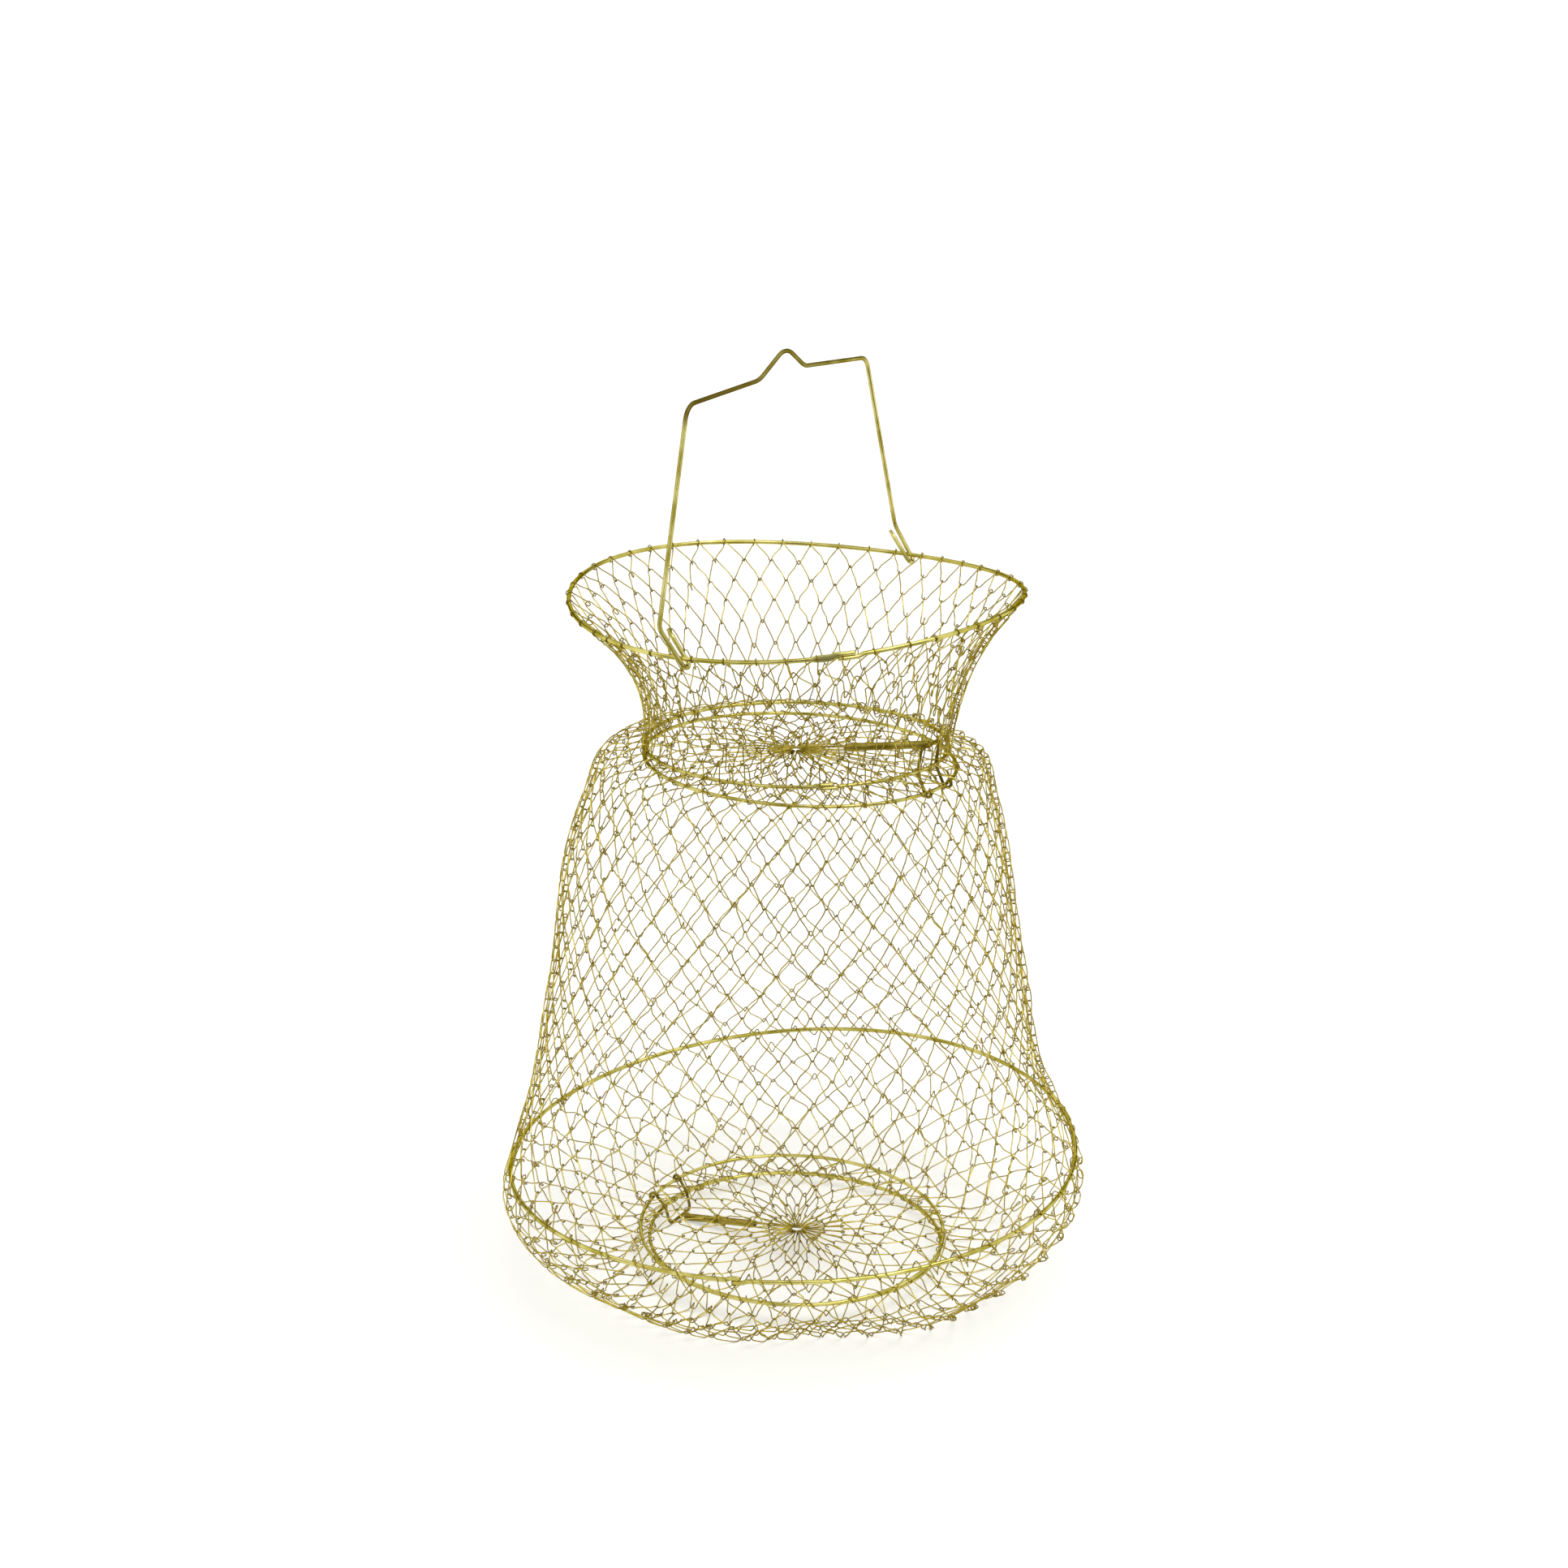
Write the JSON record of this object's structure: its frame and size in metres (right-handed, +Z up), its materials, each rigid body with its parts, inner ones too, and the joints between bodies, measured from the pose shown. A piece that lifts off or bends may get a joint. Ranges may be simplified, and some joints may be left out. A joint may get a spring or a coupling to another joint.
{
  "type": "collapsible wire fish basket",
  "caption": "Collapsible basket of linked wire net on round wire hoops, with a flared collar, a sprung lid in the neck, a sprung door in the floor and a folding wire bail.",
  "frame": {"origin": "on the floor under the middle of the basket", "axes": "+Z up through the basket's axis, -Y towards the front of the picture, +X to its right"},
  "size_m": [0.3347, 0.3346, 0.5335],
  "materials": {
    "heavy_wire": "bright brass plating on steel wire",
    "ring_wire": "bright brass plating on steel wire",
    "net_wire": "bright brass plating on thin steel wire",
    "spring_wire": "bright brass plating on spring wire"
  },
  "bodies": {
    "base": {"base_ring": "ring_wire", "door_bracket": "ring_wire", "door_spring": "spring_wire", "belly_net_row_1": "net_wire", "belly_net_row_2": "net_wire", "belly_net_row_3": "net_wire", "belly_net_row_4": "net_wire", "belly_net_row_5": "net_wire", "belly_net_row_6": "net_wire"},
    "hoop": {"hoop_ring": "heavy_wire", "body_net_row_1": "net_wire", "body_net_row_2": "net_wire", "body_net_row_3": "net_wire", "body_net_row_4": "net_wire", "body_net_row_5": "net_wire", "body_net_row_6": "net_wire", "body_net_row_7": "net_wire", "body_net_row_8": "net_wire", "body_net_row_9": "net_wire", "body_net_row_10": "net_wire", "body_net_row_11": "net_wire", "body_net_row_12": "net_wire"},
    "neck": {"neck_ring": "ring_wire", "lid_bracket": "ring_wire", "lid_spring": "spring_wire", "collar_net_row_1": "net_wire", "collar_net_row_2": "net_wire", "collar_net_row_3": "net_wire", "collar_net_row_4": "net_wire", "collar_net_row_5": "net_wire"},
    "rim": {"rim_ring": "heavy_wire"},
    "bail": {"bail_handle": "heavy_wire"},
    "lid": {"lid_ring": "ring_wire", "lid_centre_loop": "net_wire", "lid_net_row_1": "net_wire", "lid_net_row_2": "net_wire", "lid_net_row_3": "net_wire"},
    "door": {"door_ring": "ring_wire", "door_centre_loop": "net_wire", "door_net_row_1": "net_wire", "door_net_row_2": "net_wire", "door_net_row_3": "net_wire"}
  },
  "joints": [
    {"name": "hoop_slide", "type": "slide", "parent": "base", "child": "hoop", "axis": [0, 0, 1], "range_m": [-0.044, 0], "deforming": ["belly_net_row_1", "belly_net_row_2", "belly_net_row_3", "belly_net_row_4", "belly_net_row_5", "belly_net_row_6"]},
    {"name": "neck_slide", "type": "slide", "parent": "hoop", "child": "neck", "axis": [0, 0, 1], "range_m": [-0.238, 0], "deforming": ["body_net_row_1", "body_net_row_2", "body_net_row_3", "body_net_row_4", "body_net_row_5", "body_net_row_6", "body_net_row_7", "body_net_row_8", "body_net_row_9", "body_net_row_10", "body_net_row_11", "body_net_row_12"]},
    {"name": "rim_slide", "type": "slide", "parent": "neck", "child": "rim", "axis": [0, 0, 1], "range_m": [-0.065, 0], "deforming": ["collar_net_row_1", "collar_net_row_2", "collar_net_row_3", "collar_net_row_4", "collar_net_row_5"]},
    {"name": "bail_hinge", "type": "hinge", "parent": "rim", "child": "bail", "pos_m": [0.00433, -0.00187, 0.39602], "axis": [-0.4924, -0.8703, -0.0064], "range_deg": [-95, 14]},
    {"name": "lid_hinge", "type": "hinge", "parent": "neck", "child": "lid", "pos_m": [0.07726, -0.04544, 0.30401], "axis": [-0.5147, -0.8567, 0.0335], "range_deg": [0, 88], "stiffness_Nm_per_rad": 0.06, "springref_deg": -45.84, "deforming": ["lid_spring"]},
    {"name": "door_hinge", "type": "hinge", "parent": "base", "child": "door", "pos_m": [-0.07767, 0.04471, 0.01814], "axis": [-0.5, -0.866, -0.0086], "range_deg": [0, 88], "stiffness_Nm_per_rad": 0.05, "springref_deg": -28.65, "deforming": ["door_spring"]}
  ]
}
